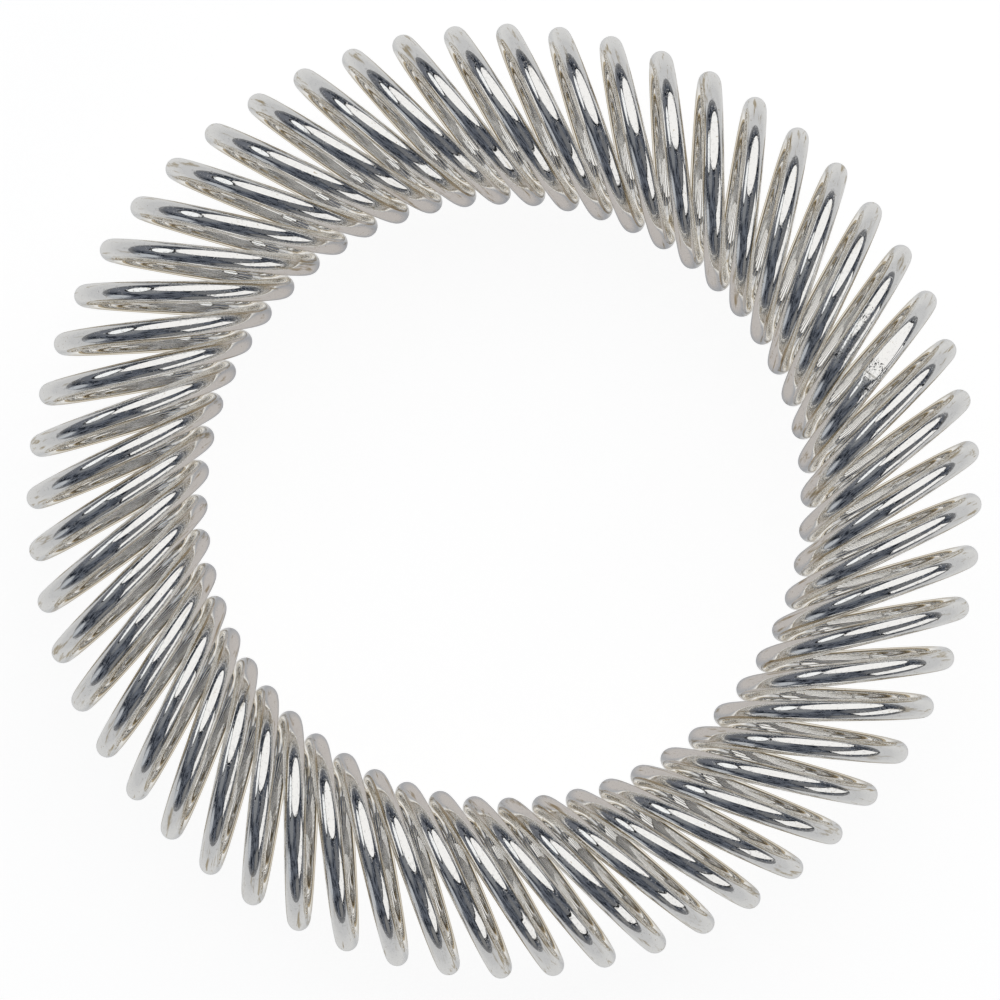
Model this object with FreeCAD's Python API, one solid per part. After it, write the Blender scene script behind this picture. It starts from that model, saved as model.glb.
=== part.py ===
import FreeCAD, Part
import os
import math

# A closed ring coiled from one length of round spring wire, lying flat on its turns. All the
# turns lean the same way, like a row of tipped hoops. Lengths are in mm, angles in degrees.
# The origin is on the surface under the ring, at its middle. Bearings are clockwise from +Y,
# seen from above, and the wire advances that way. Along a turn, the phase is 0 at the outer
# tip, 90 on the crown, 180 at the inner tip and 270 underneath.

# Driving dimensions
TURN_COUNT = 56             # turns in the closed ring
RING_DIAMETER = 80.4        # circle through the middles of the turns
COIL_DIAMETER = 19.5        # across one turn, between wire centres
WIRE_DIAMETER = 2.3
LEAN = 30.65                # each turn's lean from the radial plane, seen from above
TIP_BACK = 3.9              # each crown's tilt back against the way the wire advances
JOINED_TURN_BEARING = 70.5  # middle of the turn that holds the two ends of the wire
JOINT_PHASE = 90.0          # where the wire's ends meet, on the crown of that turn
BRAZE_THICKNESS = 0.2       # film of braze between the squared ends

# How finely a centre line is drawn, and how far it runs past an inner tip before it is cut
POINTS_PER_TURN = 24
RUN_ON_PHASE = 6.0

# The round cutter that levels an end: its radius, and how far it reaches towards the turn's
# other end, as shares of the wire's radius, and its length as a share of what runs on
CUTTER_SHARE = 1.4
CUTTER_NEAR_SHARE = 1.08
CUTTER_LENGTH_SHARE = 1.4

# Worked out from the driving dimensions
ring_radius = RING_DIAMETER / 2
coil_radius = COIL_DIAMETER / 2
wire_radius = WIRE_DIAMETER / 2
bearing_step = 360.0 / TURN_COUNT
lean = math.radians(LEAN)
tip_back = math.radians(TIP_BACK)
mid_height = coil_radius * math.cos(tip_back) + wire_radius
cutter_radius = CUTTER_SHARE * wire_radius
cutter_offset = cutter_radius - CUTTER_NEAR_SHARE * wire_radius
cutter_length = CUTTER_LENGTH_SHARE * coil_radius * math.radians(RUN_ON_PHASE)
half_braze_phase = math.degrees(BRAZE_THICKNESS / 2 / coil_radius)
UP = FreeCAD.Vector(0, 0, 1)
CENTRE = FreeCAD.Vector(0, 0, 0)


def wire_line(turn, phase):
    """Where the wire's centre line is, and its rate of travel per radian of phase.

    Turns are counted clockwise from the joined turn, which is turn 0.
    """
    bearing = math.radians(JOINED_TURN_BEARING + bearing_step * (turn + phase / 360.0))
    outward = FreeCAD.Vector(math.sin(bearing), math.cos(bearing), 0)
    onward = FreeCAD.Vector(math.cos(bearing), -math.sin(bearing), 0)
    spoke = outward * math.cos(lean) - onward * math.sin(lean)
    rise = UP * math.cos(tip_back) - onward * math.sin(tip_back)
    cosine = math.cos(math.radians(phase))
    sine = math.sin(math.radians(phase))
    place = outward * ring_radius + UP * mid_height + (spoke * cosine + rise * sine) * coil_radius

    round_ring = 1.0 / TURN_COUNT
    spoke_change = (onward * math.cos(lean) + outward * math.sin(lean)) * round_ring
    rise_change = outward * math.sin(tip_back) * round_ring
    round_coil = rise * cosine - spoke * sine + spoke_change * cosine + rise_change * sine
    travel = onward * ring_radius * round_ring + round_coil * coil_radius
    return place, travel


def swept_wire(turn, start_phase, end_phase):
    """Round wire along the centre line, with its ends squared to it."""
    spans = max(4, round(POINTS_PER_TURN * (end_phase - start_phase) / 360.0))
    step = (end_phase - start_phase) / spans
    phases = [start_phase + step * index for index in range(spans + 1)]
    points = [wire_line(turn, phase)[0] for phase in phases]
    first_travel = wire_line(turn, start_phase)[1]
    last_travel = wire_line(turn, end_phase)[1]
    line = Part.BSplineCurve()
    line.interpolate(
        Points=points,
        Parameters=[math.radians(phase) for phase in phases],
        InitialTangent=first_travel,
        FinalTangent=last_travel,
        Scale=False,
    )
    section = Part.Wire([Part.Circle(points[0], first_travel, wire_radius).toShape()])
    return Part.Wire([line.toShape()]).makePipeShell([section], True, True)


def cut_level(wire, turn, phase, keep_below):
    """Cuts an end level at the inner tip, so that neighbouring turns meet on a flat face.

    The wire drifts away from the turn's other end as it runs on, and the cutter stands off
    the same way, so that it misses that end.
    """
    tip = wire_line(turn, phase)[0]
    away = (tip - wire_line(turn, -phase)[0]).normalize()
    way_out = UP if keep_below else -UP
    foot = tip + away * cutter_offset
    return wire.cut(Part.makeCylinder(cutter_radius, cutter_length, foot, way_out))


def piece_of_turn(start_phase=-180.0, end_phase=180.0):
    """Turn 0, or a piece of it. An end that is at an inner tip is cut level."""
    level_start = start_phase == -180.0
    level_end = end_phase == 180.0
    run_from = start_phase - RUN_ON_PHASE if level_start else start_phase
    run_to = end_phase + RUN_ON_PHASE if level_end else end_phase
    wire = swept_wire(0, run_from, run_to)
    if level_start:
        wire = cut_level(wire, 0, start_phase, keep_below=True)
    if level_end:
        wire = cut_level(wire, 0, end_phase, keep_below=False)
    return wire.Solids[0]


def moved_round(shape, turns):
    """A copy of a shape, moved clockwise round the ring by a number of turns."""
    copy = shape.copy()
    copy.rotate(CENTRE, UP, -bearing_step * turns)
    return copy


def write(name, shape):
    if not shape.isValid() or len(shape.Solids) != 1:
        raise ValueError(name + " is not one valid solid")
    shape.exportStep("parts/" + name + ".step")


os.makedirs("parts", exist_ok=True)

# The joined turn is three pieces: the last stretch of the wire, the braze and the first stretch
write("wire_finish", piece_of_turn(end_phase=JOINT_PHASE - half_braze_phase))
write("end_braze", piece_of_turn(JOINT_PHASE - half_braze_phase, JOINT_PHASE + half_braze_phase))
write("wire_start", piece_of_turn(start_phase=JOINT_PHASE + half_braze_phase))

# The other turns are alike
whole_turn = piece_of_turn()
for number in range(1, TURN_COUNT):
    write("turn_%02d" % number, moved_round(whole_turn, number))

overall = 2 * (wire_line(0, 0)[0] - UP * mid_height).Length + WIRE_DIAMETER
hole = 2 * (wire_line(0, 180)[0] - UP * mid_height).Length - WIRE_DIAMETER
print("overall %.2f, clear hole %.2f, height %.2f" % (overall, hole, 2 * mid_height))
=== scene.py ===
import math

import bmesh
import bpy
from mathutils import Matrix, Vector


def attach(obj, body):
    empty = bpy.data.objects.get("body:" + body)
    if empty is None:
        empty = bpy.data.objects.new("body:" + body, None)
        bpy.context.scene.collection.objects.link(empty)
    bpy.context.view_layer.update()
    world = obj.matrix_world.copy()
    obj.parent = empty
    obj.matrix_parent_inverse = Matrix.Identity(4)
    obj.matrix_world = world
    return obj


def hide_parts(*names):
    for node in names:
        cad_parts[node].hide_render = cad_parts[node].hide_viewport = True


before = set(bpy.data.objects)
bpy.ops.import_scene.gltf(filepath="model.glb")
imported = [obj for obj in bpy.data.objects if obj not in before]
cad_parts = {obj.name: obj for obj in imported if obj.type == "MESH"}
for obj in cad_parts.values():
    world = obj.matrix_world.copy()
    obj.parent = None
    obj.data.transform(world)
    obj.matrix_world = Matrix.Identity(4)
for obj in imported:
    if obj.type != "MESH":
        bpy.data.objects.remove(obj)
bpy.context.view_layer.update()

# A closed ring coiled from one length of bright-plated spring wire. Lengths are in metres and
# angles in radians, unless a name says degrees. Bearings are clockwise from +Y, seen from
# above, and the wire advances that way. Along a turn, the phase in degrees is 0 at the outer
# tip, 90 on the crown, 180 at the inner tip and 270 underneath.

MILLIMETRE = 0.001
RING_RADIUS = 40.2 * MILLIMETRE
COIL_RADIUS = 9.75 * MILLIMETRE
WIRE_RADIUS = 1.15 * MILLIMETRE
LEAN = math.radians(30.65)
TIP_BACK = math.radians(3.9)
JOINED_TURN_BEARING = math.radians(70.5)
JOINT_PHASE = 90.0
BRAZE_THICKNESS = 0.2 * MILLIMETRE

# How finely the wire's surface is divided
STATIONS_PER_TURN = 144
AROUND = 28
AROUND_JOINT = 72

turn_nodes = sorted(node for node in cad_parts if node.startswith("turn_"))
turn_count = len(turn_nodes) + 1
bearing_step = math.tau / turn_count
mid_height = COIL_RADIUS * math.cos(TIP_BACK) + WIRE_RADIUS
half_braze_phase = math.degrees(BRAZE_THICKNESS / 2 / COIL_RADIUS)
turn_length = math.tau * COIL_RADIUS
UP = Vector((0, 0, 1))


# ---------------------------------------------------------------- the wire's line

def wire_line(phase):
    """For turn 0: the wire's centre, its travel per radian of phase, and the coil's centre."""
    bearing = JOINED_TURN_BEARING + bearing_step * phase / 360
    outward = Vector((math.sin(bearing), math.cos(bearing), 0))
    onward = Vector((math.cos(bearing), -math.sin(bearing), 0))
    spoke = outward * math.cos(LEAN) - onward * math.sin(LEAN)
    rise = UP * math.cos(TIP_BACK) - onward * math.sin(TIP_BACK)
    cosine = math.cos(math.radians(phase))
    sine = math.sin(math.radians(phase))
    middle = outward * RING_RADIUS + UP * mid_height
    place = middle + (spoke * cosine + rise * sine) * COIL_RADIUS

    spoke_change = (onward * math.cos(LEAN) + outward * math.sin(LEAN)) / turn_count
    rise_change = outward * math.sin(TIP_BACK) / turn_count
    round_coil = rise * cosine - spoke * sine + spoke_change * cosine + rise_change * sine
    travel = onward * RING_RADIUS / turn_count + round_coil * COIL_RADIUS
    return place, travel, middle


def section_frame(phase):
    """Places a flat section on the wire: its X points out of the coil and its Z along the wire."""
    place, travel, middle = wire_line(phase)
    along = travel.normalized()
    out = place - middle
    out = (out - along * out.dot(along)).normalized()
    side = along.cross(out)
    columns = Matrix((out, side, along)).transposed().to_4x4()
    return Matrix.Translation(place) @ columns


# ---------------------------------------------------------------- the wire's surface

def round_wire(start_phase, end_phase, around):
    """A closed length of round wire as a bmesh. An end at an inner tip is level, others square.

    Each vertex keeps the phase it is at and its angle round the section.
    """
    tube = bmesh.new()
    phase_of = tube.verts.layers.float.new("phase")
    angle_of = tube.verts.layers.float.new("angle")
    made = bmesh.ops.create_circle(tube, segments=around, radius=WIRE_RADIUS)
    ring = made["verts"]
    for vertex in ring:
        vertex[angle_of] = math.atan2(vertex.co.y, vertex.co.x) % math.tau
    edges = list(tube.edges)

    spans = max(2, round(STATIONS_PER_TURN * (end_phase - start_phase) / 360))
    phases = [start_phase + (end_phase - start_phase) * index / spans for index in range(spans + 1)]
    rings = []
    here = Matrix.Identity(4)
    for phase in phases:
        if rings:
            made = bmesh.ops.extrude_edge_only(tube, edges=edges)["geom"]
            ring = [item for item in made if isinstance(item, bmesh.types.BMVert)]
            edges = [item for item in made if isinstance(item, bmesh.types.BMEdge)]
        there = section_frame(phase)
        bmesh.ops.transform(tube, matrix=there @ here.inverted(), verts=ring)
        here = there
        for vertex in ring:
            vertex[phase_of] = phase
        rings.append(ring)

    for phase, ring in ((start_phase, rings[0]), (end_phase, rings[-1])):
        if abs(phase) == 180:
            level_end(ring, phase, phase_of)
    open_edges = [edge for edge in tube.edges if edge.is_boundary]
    for edge in open_edges:
        edge.smooth = False
    bmesh.ops.holes_fill(tube, edges=open_edges, sides=0)
    bmesh.ops.recalc_face_normals(tube, faces=tube.faces)
    for face in tube.faces:
        face.smooth = len(face.verts) == 4
    return tube


def level_end(ring, phase, phase_of):
    """Slides an end ring along the wire on to the level face where two turns meet."""
    travel = wire_line(phase)[1]
    along = travel.normalized()
    for vertex in ring:
        slide = (mid_height - vertex.co.z) / along.z
        vertex.co += along * slide
        vertex[phase_of] += math.degrees(slide / travel.length)


def outward_normal(vertex, phase_of):
    """Straight out from the wire's centre line."""
    place, travel, _ = wire_line(vertex[phase_of])
    along = travel.normalized()
    out = vertex.co - place
    return (out - along * out.dot(along)).normalized()


def wire_mesh(name, tube, first_turn, dressed=None):
    """Makes the mesh. Its map runs along the wire in turns, and once round the section."""
    phase_of = tube.verts.layers.float["phase"]
    angle_of = tube.verts.layers.float["angle"]
    normal_of = {vertex: outward_normal(vertex, phase_of) for vertex in tube.verts}
    if dressed:
        for vertex in tube.verts:
            normal_of[vertex] = dressed(vertex, vertex[phase_of], normal_of[vertex])
    wire_map = tube.loops.layers.uv.new("wire")
    normals = []
    for face in tube.faces:
        angles = [loop.vert[angle_of] / math.tau for loop in face.loops]
        crosses_seam = face.smooth and max(angles) - min(angles) > 0.5
        for loop, angle in zip(face.loops, angles):
            if crosses_seam and angle < 0.5:
                angle += 1
            loop[wire_map].uv = (first_turn + loop.vert[phase_of] / 360, angle)
            normals.append(normal_of[loop.vert] if face.smooth else face.normal.copy())
    mesh = bpy.data.meshes.new(name)
    tube.to_mesh(mesh)
    tube.free()
    mesh.normals_split_custom_set(normals)
    return mesh


def next_turn_mesh(name, template, turns):
    """A copy of turn 0's mesh, moved clockwise round the ring by a number of turns."""
    mesh = template.copy()
    mesh.name = name
    mesh.transform(Matrix.Rotation(-bearing_step * turns, 4, "Z"))
    # The copied map is shared with the template, so each copy is given one of its own
    shared_map = mesh.uv_layers["wire"]
    places = [0.0] * (2 * len(mesh.loops))
    shared_map.uv.foreach_get("vector", places)
    places[::2] = [along + turns for along in places[::2]]
    mesh.uv_layers.remove(shared_map)
    mesh.uv_layers.new(name="wire").uv.foreach_set("vector", places)
    return mesh


# ---------------------------------------------------------------- the dressed joint

# The joint was filed flush: a flat that grows along the last stretch of the wire and ends just
# past the braze.
FLAT_FROM_PHASE = 40.0
FLAT_FULL_PHASE = 80.0
FLAT_END_PHASE = 97.0
FLAT_HALF_ANGLE = math.radians(34)
FLAT_LEAST_ANGLE = 0.02
FLAT_TURN = math.radians(7)
FLAT_BLEND = math.radians(14)


def smooth_step(value):
    value = min(1.0, max(0.0, value))
    return value * value * (3 - 2 * value)


def file_flat(vertex, phase, normal):
    """Moves a vertex down to the filed flat, and gives the surface's normal there."""
    grown = smooth_step((phase - FLAT_FROM_PHASE) / (FLAT_FULL_PHASE - FLAT_FROM_PHASE))
    if phase > JOINT_PHASE:
        grown = smooth_step((FLAT_END_PHASE - phase) / (FLAT_END_PHASE - JOINT_PHASE))
    half_angle = FLAT_HALF_ANGLE * grown
    if half_angle < FLAT_LEAST_ANGLE:
        return normal
    at = section_frame(phase)
    flat_normal = at.to_3x3() @ Vector((math.cos(FLAT_TURN), math.sin(FLAT_TURN), 0))
    off = math.acos(max(-1.0, min(1.0, normal.dot(flat_normal))))
    if off > half_angle + FLAT_BLEND:
        return normal
    if off < half_angle:
        reach = (vertex.co - at.translation).dot(flat_normal)
        vertex.co -= flat_normal * max(0.0, reach - WIRE_RADIUS * math.cos(half_angle))
    share = smooth_step((half_angle + FLAT_BLEND - off) / FLAT_BLEND)
    return normal.lerp(flat_normal, share).normalized()


# ---------------------------------------------------------------- nodes

def add(tree, kind, inputs=None, **settings):
    """A node with its settings. Each input is given a value, or a socket to be linked to."""
    made = tree.nodes.new(kind)
    for name, value in settings.items():
        setattr(made, name, value)
    for name, value in (inputs or {}).items():
        if isinstance(value, bpy.types.NodeSocket):
            tree.links.new(value, made.inputs[name])
        else:
            made.inputs[name].default_value = value
    return made


def maths(tree, operation, first, second=0.0, third=0.0):
    made = add(tree, "ShaderNodeMath", {0: first, 1: second, 2: third}, operation=operation)
    return made.outputs[0]


def between(tree, value, low, high, from_value=0.0, to_value=1.0):
    """Goes smoothly from one value to another as the input goes from low to high."""
    inputs = {"Value": value, "From Min": low, "From Max": high,
              "To Min": from_value, "To Max": to_value}
    return add(tree, "ShaderNodeMapRange", inputs, interpolation_type="SMOOTHSTEP").outputs[0]


def noise(tree, place, scale, detail=2.0, roughness=0.5, distortion=0.0):
    inputs = {"Vector": place, "Scale": scale, "Detail": detail, "Roughness": roughness,
              "Distortion": distortion}
    return add(tree, "ShaderNodeTexNoise", inputs).outputs["Fac"]


def stretched(tree, place, scale):
    made = add(tree, "ShaderNodeMapping", {"Vector": place, "Scale": scale})
    return made.outputs[0]


def mixed(tree, share, first, second):
    """A blend of two colours."""
    made = add(tree, "ShaderNodeMix", {"Factor": share}, data_type="RGBA")
    for socket, value in ((made.inputs[6], first), (made.inputs[7], second)):
        if isinstance(value, bpy.types.NodeSocket):
            tree.links.new(value, socket)
        else:
            socket.default_value = (*value, 1)
    return made.outputs[2]


def new_group(name, outputs):
    """An empty node group that puts out the named values, and its output node."""
    group = bpy.data.node_groups.new(name, "ShaderNodeTree")
    for label in outputs:
        group.interface.new_socket(label, in_out="OUTPUT", socket_type="NodeSocketFloat")
    return group, group.nodes.new("NodeGroupOutput")


def place_group(tree, group):
    return add(tree, "ShaderNodeGroup", node_tree=group)


def wire_place(tree):
    """A point's place on the wire in millimetres, along it and round it, with its map values."""
    mapped = add(tree, "ShaderNodeUVMap", uv_map="wire").outputs[0]
    parts = add(tree, "ShaderNodeSeparateXYZ", {0: mapped})
    along, around = parts.outputs["X"], parts.outputs["Y"]
    angle = maths(tree, "MULTIPLY", around, math.tau)
    radius = WIRE_RADIUS / MILLIMETRE
    place = add(tree, "ShaderNodeCombineXYZ", {
        "X": maths(tree, "MULTIPLY", along, turn_length / MILLIMETRE),
        "Y": maths(tree, "MULTIPLY", maths(tree, "COSINE", angle), radius),
        "Z": maths(tree, "MULTIPLY", maths(tree, "SINE", angle), radius),
    })
    return place.outputs[0], along, angle


# ---------------------------------------------------------------- effects on the plating

def plating_ripple():
    """Height of the faint waves and orange peel in bright plating over drawn wire."""
    group, end = new_group("plating_ripple", ["Height"])
    place = wire_place(group)[0]
    wave = noise(group, stretched(group, place, (0.25, 0.7, 0.7)), 1.0, 1.0)
    peel = noise(group, stretched(group, place, (2.4, 4.0, 4.0)), 1.0, 1.0)
    total = maths(group, "MULTIPLY_ADD", wave, 2.0, maths(group, "MULTIPLY", peel, 0.24))
    group.links.new(total, end.inputs["Height"])
    return group


def crown(tree, along, low, high):
    """Mask by how high on its turn a point is: -1 underneath, 0 at the tips, 1 on the crown."""
    height = maths(tree, "SINE", maths(tree, "MULTIPLY", along, math.tau))
    return between(tree, height, low, high)


def plating_specks():
    """Mask of tiny dull specks in the plating."""
    group, end = new_group("plating_specks", ["Mask"])
    place, along, _ = wire_place(group)
    fine = noise(group, stretched(group, place, (3.2, 4.6, 4.6)), 1.0, 3.0, 0.7)
    on_crown = crown(group, along, -0.4, 0.3)
    mask = maths(group, "MULTIPLY", between(group, fine, 0.53, 0.63), on_crown)
    group.links.new(mask, end.inputs["Mask"])
    return group


def draw_marks():
    """Mask of fine scratches along the wire, left by the drawing die and by handling."""
    group, end = new_group("draw_marks", ["Mask"])
    place = wire_place(group)[0]
    lines = noise(group, stretched(group, place, (0.5, 16.0, 16.0)), 1.0, 3.0, 0.6)
    patches = noise(group, stretched(group, place, (0.35, 1.2, 1.2)), 1.0, 1.0)
    scratched = between(group, patches, 0.45, 0.62)
    mask = maths(group, "MULTIPLY", between(group, lines, 0.56, 0.70), scratched)
    group.links.new(mask, end.inputs["Mask"])
    return group


def tarnish():
    """Mask of yellow-brown stain: streaks at the tips, specks, and lines low on the sides."""
    group, end = new_group("tarnish", ["Mask"])
    place, along, angle = wire_place(group)
    tips = maths(group, "COSINE", maths(group, "MULTIPLY", along, math.tau))
    at_tips = between(group, maths(group, "ABSOLUTE", tips), 0.35, 0.92)
    streaks = noise(group, stretched(group, place, (0.22, 1.7, 1.7)), 1.0, 3.0, 0.62, 0.4)
    specks = noise(group, stretched(group, place, (2.2, 3.4, 3.4)), 1.0, 2.0, 0.6)
    streak_mask = maths(group, "MULTIPLY", between(group, streaks, 0.55, 0.70), at_tips)
    speck_mask = maths(group, "MULTIPLY", between(group, specks, 0.68, 0.75), 0.7)
    underside = crown(group, along, 0.0, -0.5)
    side = between(group, maths(group, "ABSOLUTE", maths(group, "SINE", angle)), 0.84, 0.98)
    line = noise(group, stretched(group, place, (0.10, 0.5, 0.5)), 1.0, 2.0)
    lines = maths(group, "MAXIMUM", between(group, line, 0.46, 0.60), underside)
    line_mask = maths(group, "MULTIPLY", maths(group, "MULTIPLY", side, lines), 0.9)
    mask = maths(group, "MAXIMUM", maths(group, "MAXIMUM", streak_mask, speck_mask), line_mask)
    group.links.new(mask, end.inputs["Mask"])
    return group


# Middle and half length of each marred stretch, in turns along the wire
MARRED_STRETCHES = (
    (turn_count + 87 / 360, 9 / 360),
    (94 / 360, 12 / 360),
    (turn_count - 1 + 90 / 360, 27 / 360),
)


def joint_marring():
    """Marred plating near the joint: masks of torn specks and dark pits, and their height."""
    group, end = new_group("joint_marring", ["Mask", "Pits", "Height"])
    place, along, angle = wire_place(group)
    stretches = None
    for middle, half_length in MARRED_STRETCHES:
        off = maths(group, "ABSOLUTE", maths(group, "SUBTRACT", along, middle))
        here = between(group, off, half_length * 0.55, half_length, 1.0, 0.0)
        stretches = here if stretches is None else maths(group, "MAXIMUM", stretches, here)
    top = between(group, maths(group, "COSINE", angle), -0.1, 0.5)
    grains = noise(group, stretched(group, place, (4.6, 6.5, 6.5)), 1.0, 3.0, 0.7)
    patches = noise(group, stretched(group, place, (0.5, 1.0, 1.0)), 1.0, 2.0)
    region = maths(group, "MULTIPLY", maths(group, "MULTIPLY", stretches, top), patches)
    edge = maths(group, "MULTIPLY_ADD", region, 0.55, 0.22)
    torn = between(group, maths(group, "SUBTRACT", edge, grains), 0.0, 0.06)
    pits = between(group, maths(group, "SUBTRACT", edge, grains), 0.09, 0.12)
    group.links.new(torn, end.inputs["Mask"])
    group.links.new(pits, end.inputs["Pits"])
    group.links.new(maths(group, "MULTIPLY", grains, torn), end.inputs["Height"])
    return group


effects = {
    "ripple": plating_ripple(),
    "specks": plating_specks(),
    "marks": draw_marks(),
    "tarnish": tarnish(),
    "marring": joint_marring(),
}


# ---------------------------------------------------------------- materials

PLATING_BUMP = 1.2e-6
BRAZE_BUMP = 6e-6
PLATING = (0.935, 0.928, 0.912)
SPECKLED = (0.66, 0.66, 0.66)
STAIN = (0.40, 0.31, 0.16)
BARE = (0.93, 0.92, 0.89)
PITTED = (0.06, 0.06, 0.065)
BRAZE = (0.74, 0.72, 0.68)
STAINED_BRAZE = (0.40, 0.31, 0.18)


def plated_wire(name, marred=False):
    """Bright plating with ripple, fine scratches and stain, and with marring beside the joint."""
    material = bpy.data.materials.new(name)
    material.use_nodes = True
    tree = material.node_tree
    shader = tree.nodes["Principled BSDF"]
    ripple = place_group(tree, effects["ripple"]).outputs["Height"]
    marks = place_group(tree, effects["marks"]).outputs["Mask"]
    stain = place_group(tree, effects["tarnish"]).outputs["Mask"]
    specks = place_group(tree, effects["specks"]).outputs["Mask"]
    colour = mixed(tree, maths(tree, "MULTIPLY", specks, 0.15), PLATING, SPECKLED)
    colour = mixed(tree, maths(tree, "MULTIPLY", stain, 0.9), colour, STAIN)
    roughness = maths(tree, "MULTIPLY_ADD", stain, 0.12, 0.04)
    roughness = maths(tree, "MULTIPLY_ADD", specks, 0.26, roughness)
    roughness = maths(tree, "MULTIPLY_ADD", marks, 0.10, roughness)
    height = maths(tree, "MULTIPLY_ADD", marks, -0.10, ripple)
    if marred:
        marring = place_group(tree, effects["marring"])
        colour = mixed(tree, maths(tree, "MULTIPLY", marring.outputs["Mask"], 0.6), colour, BARE)
        colour = mixed(tree, marring.outputs["Pits"], colour, PITTED)
        roughness = maths(tree, "MULTIPLY_ADD", marring.outputs["Mask"], 0.22, roughness)
        height = maths(tree, "MULTIPLY_ADD", marring.outputs["Height"], 2.5, height)
    bump = add(tree, "ShaderNodeBump",
               {"Height": height, "Strength": 1.0, "Distance": PLATING_BUMP})
    shader.inputs["Metallic"].default_value = 1.0
    tree.links.new(colour, shader.inputs["Base Color"])
    tree.links.new(roughness, shader.inputs["Roughness"])
    tree.links.new(bump.outputs["Normal"], shader.inputs["Normal"])
    return material


def silver_braze():
    """Filed silver braze: duller than the plating, with grains and file scores."""
    material = bpy.data.materials.new("silver_braze")
    material.use_nodes = True
    tree = material.node_tree
    shader = tree.nodes["Principled BSDF"]
    marring = place_group(tree, effects["marring"])
    stain = place_group(tree, effects["tarnish"]).outputs["Mask"]
    colour = mixed(tree, stain, BRAZE, STAINED_BRAZE)
    colour = mixed(tree, marring.outputs["Pits"], colour, PITTED)
    roughness = maths(tree, "MULTIPLY_ADD", marring.outputs["Mask"], 0.20, 0.24)
    bump = add(tree, "ShaderNodeBump",
               {"Height": marring.outputs["Height"], "Strength": 1.0, "Distance": BRAZE_BUMP})
    shader.inputs["Metallic"].default_value = 1.0
    tree.links.new(colour, shader.inputs["Base Color"])
    tree.links.new(roughness, shader.inputs["Roughness"])
    tree.links.new(bump.outputs["Normal"], shader.inputs["Normal"])
    return material


# ---------------------------------------------------------------- pieces

def add_piece(name, mesh, material, body, node):
    """Puts a finished mesh in the scene in place of its CAD node."""
    mesh.materials.clear()
    mesh.materials.append(material)
    piece = bpy.data.objects.new(name, mesh)
    bpy.context.scene.collection.objects.link(piece)
    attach(piece, body)
    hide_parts(node)


def build_ring():
    plain = plated_wire("bright_plating")
    marred = plated_wire("bright_plating_marred", marred=True)
    template = wire_mesh("turn", round_wire(-180, 180, AROUND), 0)
    for turns, node in enumerate(turn_nodes, start=1):
        mesh = next_turn_mesh("plated_" + node, template, turns)
        beside_joint = turns == turn_count - 1
        material = marred if beside_joint else plain
        add_piece("plated_" + node, mesh, material, node, node)
    bpy.data.meshes.remove(template)

    finish = round_wire(-180, JOINT_PHASE - half_braze_phase, AROUND_JOINT)
    add_piece("plated_wire_finish", wire_mesh("plated_wire_finish", finish, turn_count, file_flat),
              marred, "joined_turn", "wire_finish")
    start = round_wire(JOINT_PHASE + half_braze_phase, 180, AROUND_JOINT)
    add_piece("plated_wire_start", wire_mesh("plated_wire_start", start, 0, file_flat),
              marred, "joined_turn", "wire_start")
    braze = round_wire(JOINT_PHASE - half_braze_phase, JOINT_PHASE + half_braze_phase, AROUND_JOINT)
    add_piece("filed_end_braze", wire_mesh("filed_end_braze", braze, turn_count, file_flat),
              silver_braze(), "joined_turn", "end_braze")


# ---------------------------------------------------------------- light, floor and camera

PANEL_DISTANCE = 0.8
RIM_WIDTH = 0.055
RIM_SETBACK = 0.01
RIM_BLACK = (0.012, 0.013, 0.016, 1)

# Each panel's name, angle from overhead, bearing, size, turn, brightness, tint and shape
PANELS = (
    ("main_panel", 42, 18, (1.82, 1.14), 40, 0.93, (1.0, 0.995, 0.985), "ELLIPSE"),
    ("side_panel", 63.5, 117, (1.05, 0.46), -25, 0.90, (1.0, 0.995, 0.985), "RECTANGLE"),
    ("small_panel", 51, 302, (0.72, 0.40), 20, 0.96, (0.97, 0.99, 1.0), "ELLIPSE"),
)


def direction(zenith_degrees, bearing_degrees):
    """From the ring towards a point of the room, by its angle from overhead and its bearing."""
    zenith = math.radians(zenith_degrees)
    bearing = math.radians(bearing_degrees)
    level = math.sin(zenith)
    return Vector((level * math.sin(bearing), level * math.cos(bearing), math.cos(zenith)))


def light_panel(name, zenith, bearing, size, turned_degrees, brightness, tint, shape):
    """A soft panel facing the ring. Its size is across and up, as seen from the ring 1 m off."""
    towards = direction(zenith, bearing)
    light = bpy.data.lights.new(name, "AREA")
    light.shape = shape
    light.size = size[0] * PANEL_DISTANCE
    light.size_y = size[1] * PANEL_DISTANCE
    area = light.size * light.size_y * (math.pi / 4 if shape == "ELLIPSE" else 1)
    light.energy = brightness * math.pi * area
    light.color = tint
    across = UP.cross(towards).normalized()
    upright = towards.cross(across)
    turned = Matrix.Rotation(math.radians(turned_degrees), 4, "Z")
    facing = Matrix((across, upright, towards)).transposed().to_4x4() @ turned
    panel = bpy.data.objects.new(name, light)
    panel.matrix_world = Matrix.Translation(towards * PANEL_DISTANCE) @ facing
    panel.visible_camera = False
    bpy.context.scene.collection.objects.link(panel)
    dark_rim(name + "_rim", light, panel.matrix_world)


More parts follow.
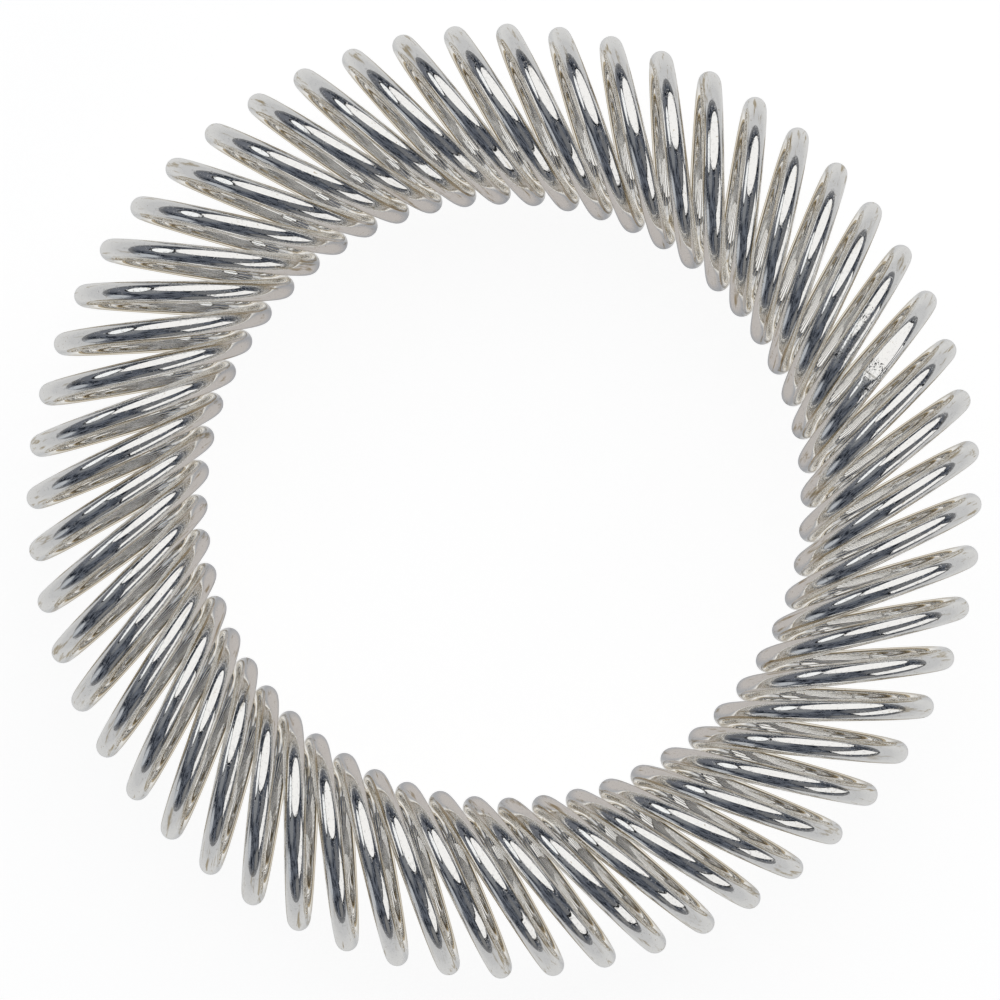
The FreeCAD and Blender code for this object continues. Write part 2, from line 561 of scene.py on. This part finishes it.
def dark_rim(name, light, facing):
    """The black edge of a panel's cloth box, a little behind the panel."""
    rim = bmesh.new()
    if light.shape == "ELLIPSE":
        bmesh.ops.create_circle(rim, cap_ends=True, segments=64, radius=0.5)
    else:
        bmesh.ops.create_grid(rim, x_segments=1, y_segments=1, size=0.5)
    wide = 1 + 2 * RIM_WIDTH / light.size
    high = 1 + 2 * RIM_WIDTH / light.size_y
    size = Vector((light.size * wide, light.size_y * high, 1))
    bmesh.ops.scale(rim, vec=size, verts=rim.verts)
    bmesh.ops.translate(rim, vec=(0, 0, RIM_SETBACK), verts=rim.verts)
    mesh = bpy.data.meshes.new(name)
    rim.to_mesh(mesh)
    rim.free()
    material = bpy.data.materials.new(name)
    material.use_nodes = True
    shader = material.node_tree.nodes["Principled BSDF"]
    shader.inputs["Base Color"].default_value = RIM_BLACK
    shader.inputs["Roughness"].default_value = 0.9
    mesh.materials.append(material)
    board = bpy.data.objects.new(name, mesh)
    board.matrix_world = facing
    board.visible_camera = False
    board.visible_shadow = False
    bpy.context.scene.collection.objects.link(board)


# The room's folds run from black to dim, with a paler band low down. The camera sees a backdrop
ROOM_BLACK = (0.009, 0.012, 0.019)
ROOM_DIM = (0.130, 0.145, 0.176)
ROOM_LOW = (0.200, 0.203, 0.210)
BACKDROP = (0.93, 0.93, 0.93)

# Angle from overhead, bearing, half angle and colour of the room's lighter patches
ROOM_PATCHES = (
    (62, 300, 30, (0.145, 0.155, 0.180)),
    (34, 272, 24, (0.205, 0.215, 0.230)),
    (36, 112, 24, (0.155, 0.160, 0.170)),
    (78, 238, 17, (0.470, 0.495, 0.530)),
    (70, 165, 16, (0.205, 0.205, 0.205)),
)


def room():
    """A dim blue-grey studio with a lighter band low down; pale where the camera sees it."""
    world = bpy.data.worlds.new("studio")
    bpy.context.scene.world = world
    world.use_nodes = True
    tree = world.node_tree
    tree.nodes.clear()
    looking = add(tree, "ShaderNodeTexCoord").outputs["Generated"]
    height = add(tree, "ShaderNodeSeparateXYZ", {0: looking}).outputs["Z"]
    folds = noise(tree, looking, 4.5, 4.0, 0.7)
    dark = mixed(tree, between(tree, folds, 0.40, 0.60), ROOM_BLACK, ROOM_DIM)
    low = between(tree, height, 0.0, 0.24, 1.0, 0.0)
    colour = mixed(tree, low, dark, ROOM_LOW)
    for zenith, bearing, half_angle, tint in ROOM_PATCHES:
        towards = add(tree, "ShaderNodeVectorMath",
                      {0: looking, 1: direction(zenith, bearing)}, operation="DOT_PRODUCT")
        edge = math.cos(math.radians(half_angle))
        patch = between(tree, towards.outputs["Value"], edge, 1 - (1 - edge) * 0.3)
        colour = mixed(tree, patch, colour, tint)
    ray = add(tree, "ShaderNodeLightPath").outputs["Is Camera Ray"]
    colour = mixed(tree, ray, colour, BACKDROP)
    shader = add(tree, "ShaderNodeBackground", {"Color": colour})
    add(tree, "ShaderNodeOutputWorld", {"Surface": shader.outputs[0]})


# The floor is pale where the camera sees it, and matt for light and shadow. GLOW is painted light:
# what the ring mirrors of it glows, with its colour painted by the distance from its middle: warm
# inside the ring, painted shade below its tips, a painted pool of light under it, and fading
# further off
FLOOR_SIZE = 6.0
FLOOR_DROP = 0.00005
FLOOR_MATT = (0.25, 0.25, 0.25, 1)
FLOOR_SEEN = (0.90, 0.90, 0.90, 1)
GLOW_REACH = 0.1
GLOW_STRENGTH = 1.72
GLOW = (
    (0.023, (0.250, 0.233, 0.222)),
    (0.030, (0.165, 0.170, 0.182)),
    (0.036, (0.430, 0.420, 0.402)),
    (0.044, (0.430, 0.422, 0.405)),
    (0.050, (0.270, 0.274, 0.278)),
    (0.055, (0.335, 0.335, 0.332)),
    (0.090, (0.270, 0.272, 0.275)),
)


def floor():
    mesh = bpy.data.meshes.new("floor")
    sheet = bmesh.new()
    bmesh.ops.create_grid(sheet, x_segments=1, y_segments=1, size=FLOOR_SIZE / 2)
    sheet.to_mesh(mesh)
    sheet.free()
    material = bpy.data.materials.new("pale_floor")
    material.use_nodes = True
    tree = material.node_tree
    tree.nodes.clear()
    matt = add(tree, "ShaderNodeBsdfDiffuse", {"Color": FLOOR_MATT})
    seen = add(tree, "ShaderNodeEmission", {"Color": FLOOR_SEEN})
    place = add(tree, "ShaderNodeTexCoord").outputs["Object"]
    reach = add(tree, "ShaderNodeVectorMath", {0: place}, operation="LENGTH").outputs["Value"]
    share = maths(tree, "DIVIDE", reach, GLOW_REACH)
    # Painted light and painted shade: the floor's glow is coloured by the distance from the ring's
    # middle
    painted_glow = add(tree, "ShaderNodeValToRGB", {"Fac": share})
    for _ in range(len(GLOW) - 2):
        painted_glow.color_ramp.elements.new(0.5)
    for stop, (radius, tint) in zip(painted_glow.color_ramp.elements, GLOW):
        stop.position = radius / GLOW_REACH
        stop.color = (*tint, 1)
    mirrored = add(tree, "ShaderNodeEmission",
                   {"Color": painted_glow.outputs["Color"], "Strength": GLOW_STRENGTH})
    ray = add(tree, "ShaderNodeLightPath").outputs["Is Camera Ray"]
    glow = add(tree, "ShaderNodeMixShader", {0: ray, 1: mirrored.outputs[0], 2: seen.outputs[0]})
    both = add(tree, "ShaderNodeAddShader", {0: matt.outputs[0], 1: glow.outputs[0]})
    add(tree, "ShaderNodeOutputMaterial", {"Surface": both.outputs[0]})
    mesh.materials.append(material)
    surface = bpy.data.objects.new("floor", mesh)
    surface.location.z = -FLOOR_DROP
    bpy.context.scene.collection.objects.link(surface)


CAMERA_DISTANCE = 0.8379
CAMERA_ASIDE = (-0.000424, 0.000115)
CAMERA_LENS = 288


def overhead_camera():
    """Straight above the ring, with +Y up the frame."""
    camera = bpy.data.cameras.new("camera")
    camera.sensor_width = 36
    camera.lens = CAMERA_LENS
    camera.clip_start = 0.05
    camera.clip_end = 10
    seen_from = bpy.data.objects.new("camera", camera)
    seen_from.location = (*CAMERA_ASIDE, mid_height + CAMERA_DISTANCE)
    bpy.context.scene.collection.objects.link(seen_from)
    bpy.context.scene.camera = seen_from


build_ring()
for panel_values in PANELS:
    light_panel(*panel_values)
room()
floor()
overhead_camera()
bpy.context.scene.view_settings.view_transform = "Standard"
# The turns mirror each other many times over
bpy.context.scene.cycles.glossy_bounces = 12
bpy.context.scene.cycles.max_bounces = 16
